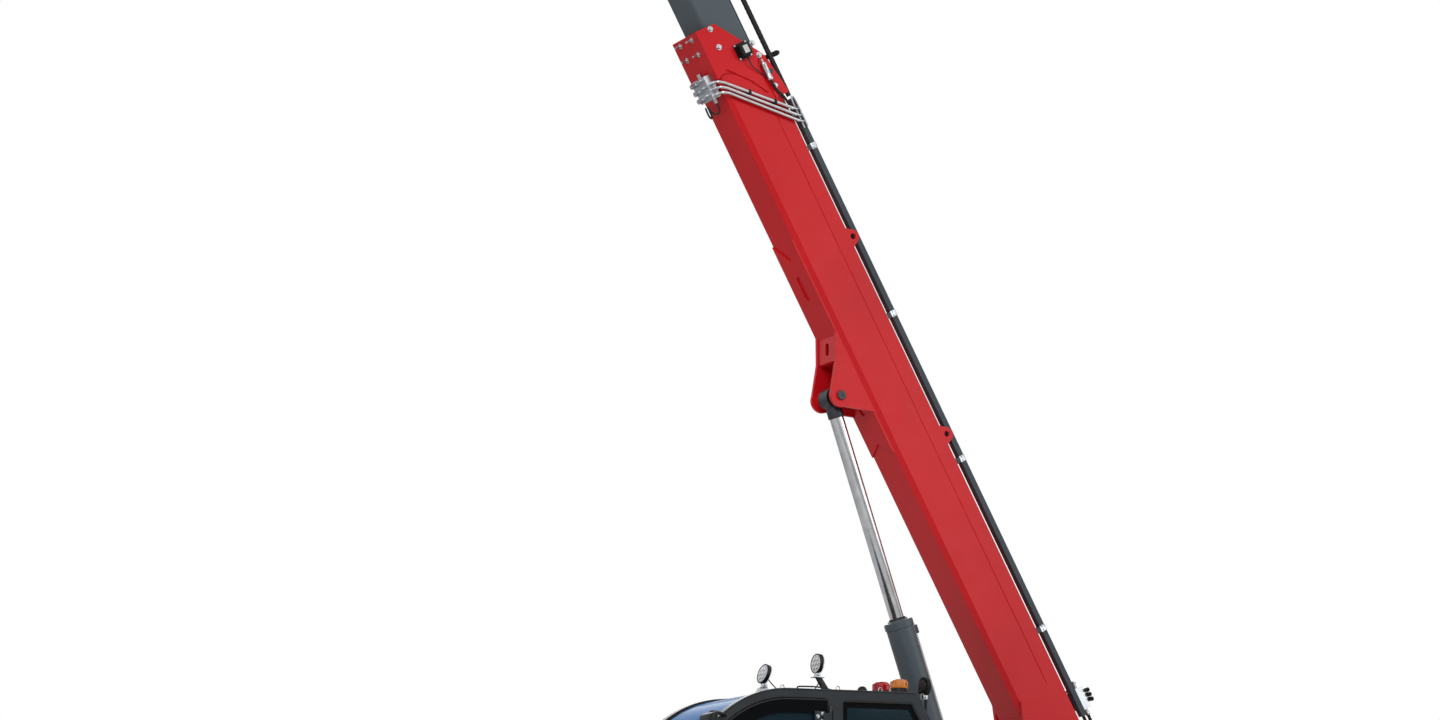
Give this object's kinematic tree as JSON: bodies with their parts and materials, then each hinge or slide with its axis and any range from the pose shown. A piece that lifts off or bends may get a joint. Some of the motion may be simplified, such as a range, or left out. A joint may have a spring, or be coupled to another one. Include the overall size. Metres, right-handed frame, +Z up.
{
  "type": "rotating telehandler",
  "caption": "Red and grey rotating telehandler: a cab and a telescopic boom with forks on a slewing turret, over steered wheels and outriggers.",
  "frame": {"origin": "on the ground under the middle of the machine's overall length", "axes": "+X forward over the forks, +Y to the machine's left, +Z up"},
  "size_m": [8.1377, 3, 10.1117],
  "materials": {
    "amber": "gloss",
    "cab_grey": "satin",
    "chrome": "polished",
    "glass": "polished",
    "grey_paint": "satin",
    "iron": "matte",
    "lamp_black": "satin",
    "red_paint": "gloss",
    "rim_paint": "satin",
    "rubber": "matte",
    "seat": "matte",
    "slate_paint": "satin",
    "steel": "satin"
  },
  "bodies": {
    "chassis": {"chassis_frame": "grey_paint", "axle_front": "iron", "axle_rear": "iron", "mudguards": "lamp_black", "side_lockers": "grey_paint", "chassis_lamps": "amber", "slew_ring": "steel"},
    "turret": {"turret_frame": "red_paint", "turret_pins": "steel", "counterweight": "grey_paint", "engine_bay": "red_paint", "engine_block": "iron", "hydraulic_tank": "red_paint", "cab_shell": "cab_grey", "cab_glazing": "glass", "cab_seat": "seat", "steering_column": "lamp_black", "roof_lamps": "lamp_black", "beacons": "amber", "mirrors": "lamp_black", "exhaust": "steel"},
    "lid": {"engine_lid": "red_paint"},
    "door": {"cab_door": "cab_grey", "door_glass": "glass"},
    "barrel": {"lift_barrel": "slate_paint"},
    "rod": {"lift_rod": "chrome"},
    "boom": {"boom_base": "red_paint", "boom_tray": "slate_paint", "boom_pipes": "chrome", "boom_valves": "steel", "boom_sensor": "lamp_black", "boom_lamp": "lamp_black"},
    "boom_2": {"boom_section_2": "slate_paint", "boom_2_lines": "steel"},
    "boom_3": {"boom_section_3": "slate_paint"},
    "boom_4": {"boom_section_4": "slate_paint"},
    "carriage": {"carriage": "slate_paint", "forks": "iron"},
    "knuckle_body_front_left": {"knuckle_front_left": "iron"},
    "wheel_front_left": {"tyre_front_left": "rubber", "rim_front_left": "rim_paint"},
    "outrigger_front_left": {"outrigger_beam_front_left": "grey_paint"},
    "foot_front_left": {"outrigger_leg_front_left": "grey_paint"},
    "knuckle_body_front_right": {"knuckle_front_right": "iron"},
    "wheel_front_right": {"tyre_front_right": "rubber", "rim_front_right": "rim_paint"},
    "outrigger_front_right": {"outrigger_beam_front_right": "grey_paint"},
    "foot_front_right": {"outrigger_leg_front_right": "grey_paint"},
    "knuckle_body_rear_left": {"knuckle_rear_left": "iron"},
    "wheel_rear_left": {"tyre_rear_left": "rubber", "rim_rear_left": "rim_paint"},
    "outrigger_rear_left": {"outrigger_beam_rear_left": "grey_paint"},
    "foot_rear_left": {"outrigger_leg_rear_left": "grey_paint"},
    "knuckle_body_rear_right": {"knuckle_rear_right": "iron"},
    "wheel_rear_right": {"tyre_rear_right": "rubber", "rim_rear_right": "rim_paint"},
    "outrigger_rear_right": {"outrigger_beam_rear_right": "grey_paint"},
    "foot_rear_right": {"outrigger_leg_rear_right": "grey_paint"}
  },
  "joints": [
    {"name": "slew", "type": "hinge", "parent": "chassis", "child": "turret", "pos_m": [-0.98881, 0, 1.34], "axis": [0, 0, 1], "continuous": true},
    {"name": "boom_lift", "type": "hinge", "parent": "turret", "child": "boom", "pos_m": [-2.60182, 0, 2.668], "axis": [0, -1, 0], "range_deg": [-61.6, 16]},
    {"name": "boom_2_slide", "type": "slide", "parent": "boom", "child": "boom_2", "axis": [0.506, 0, 0.8625], "range_m": [-0.35, 4.3]},
    {"name": "boom_3_slide", "type": "slide", "parent": "boom_2", "child": "boom_3", "axis": [0.506, 0, 0.8625], "range_m": [-0.35, 4.3]},
    {"name": "boom_4_slide", "type": "slide", "parent": "boom_3", "child": "boom_4", "axis": [0.506, 0, 0.8625], "range_m": [-0.35, 4.3]},
    {"name": "carriage_tilt", "type": "hinge", "parent": "boom_4", "child": "carriage", "pos_m": [2.53382, 0, 9.74174], "axis": [0, -1, 0], "range_deg": [-50, 75]},
    {"name": "barrel_swing", "type": "hinge", "parent": "turret", "child": "barrel", "pos_m": [-2.1343, 0, 1.8683], "axis": [0, -1, 0], "range_deg": [-57, 15]},
    {"name": "rod_slide", "type": "slide", "parent": "barrel", "child": "rod", "axis": [0.342, 0, 0.9397], "range_m": [-0.88, 0.24]},
    {"name": "lid_hinge", "type": "hinge", "parent": "turret", "child": "lid", "pos_m": [-1.58882, -0.34, 2.2523], "axis": [-1, 0, 0], "range_deg": [0, 60]},
    {"name": "door_hinge", "type": "hinge", "parent": "turret", "child": "door", "pos_m": [-0.12281, 1.224, 2.2345], "axis": [0, 0, 1], "range_deg": [0, 95]},
    {"name": "steer_front_left", "type": "hinge", "parent": "chassis", "child": "knuckle_body_front_left", "pos_m": [0.61118, 0.74, 0.575], "axis": [0, 0, 1], "range_deg": [-30, 30]},
    {"name": "spin_front_left", "type": "hinge", "parent": "knuckle_body_front_left", "child": "wheel_front_left", "pos_m": [0.61118, 1.03, 0.575], "axis": [0, 1, 0], "continuous": true},
    {"name": "swing_front_left", "type": "hinge", "parent": "chassis", "child": "outrigger_front_left", "pos_m": [1.91118, -0.45, 0.69], "axis": [1, 0, 0], "range_deg": [-14, 0]},
    {"name": "extend_front_left", "type": "slide", "parent": "outrigger_front_left", "child": "foot_front_left", "axis": [0, 0.9903, 0.1392], "range_m": [0, 0.85]},
    {"name": "steer_front_right", "type": "hinge", "parent": "chassis", "child": "knuckle_body_front_right", "pos_m": [0.61118, -0.74, 0.575], "axis": [0, 0, 1], "range_deg": [-30, 30]},
    {"name": "spin_front_right", "type": "hinge", "parent": "knuckle_body_front_right", "child": "wheel_front_right", "pos_m": [0.61118, -1.03, 0.575], "axis": [0, 1, 0], "continuous": true},
    {"name": "swing_front_right", "type": "hinge", "parent": "chassis", "child": "outrigger_front_right", "pos_m": [1.61119, 0.45, 0.69], "axis": [-1, 0, 0], "range_deg": [-14, 0]},
    {"name": "extend_front_right", "type": "slide", "parent": "outrigger_front_right", "child": "foot_front_right", "axis": [0, -0.9903, 0.1392], "range_m": [0, 0.85]},
    {"name": "steer_rear_left", "type": "hinge", "parent": "chassis", "child": "knuckle_body_rear_left", "pos_m": [-2.58881, 0.74, 0.575], "axis": [0, 0, 1], "range_deg": [-30, 30]},
    {"name": "spin_rear_left", "type": "hinge", "parent": "knuckle_body_rear_left", "child": "wheel_rear_left", "pos_m": [-2.58881, 1.03, 0.575], "axis": [0, 1, 0], "continuous": true},
    {"name": "swing_rear_left", "type": "hinge", "parent": "chassis", "child": "outrigger_rear_left", "pos_m": [-3.58881, -0.45, 0.69], "axis": [1, 0, 0], "range_deg": [-14, 0]},
    {"name": "extend_rear_left", "type": "slide", "parent": "outrigger_rear_left", "child": "foot_rear_left", "axis": [0, 0.9903, 0.1392], "range_m": [0, 0.85]},
    {"name": "steer_rear_right", "type": "hinge", "parent": "chassis", "child": "knuckle_body_rear_right", "pos_m": [-2.58881, -0.74, 0.575], "axis": [0, 0, 1], "range_deg": [-30, 30]},
    {"name": "spin_rear_right", "type": "hinge", "parent": "knuckle_body_rear_right", "child": "wheel_rear_right", "pos_m": [-2.58881, -1.03, 0.575], "axis": [0, 1, 0], "continuous": true},
    {"name": "swing_rear_right", "type": "hinge", "parent": "chassis", "child": "outrigger_rear_right", "pos_m": [-3.88882, 0.45, 0.69], "axis": [-1, 0, 0], "range_deg": [-14, 0]},
    {"name": "extend_rear_right", "type": "slide", "parent": "outrigger_rear_right", "child": "foot_rear_right", "axis": [0, -0.9903, 0.1392], "range_m": [0, 0.85]}
  ],
  "couplings": [
    {"joint": "boom_3_slide", "follows": "boom_2_slide", "ratio": 1},
    {"joint": "boom_4_slide", "follows": "boom_2_slide", "ratio": 1},
    {"joint": "barrel_swing", "follows": "boom_lift", "ratio": 0.918},
    {"joint": "rod_slide", "follows": "boom_lift", "m_per_rad": 0.816},
    {"joint": "steer_front_right", "follows": "steer_front_left", "ratio": 1},
    {"joint": "steer_rear_right", "follows": "steer_rear_left", "ratio": 1}
  ]
}
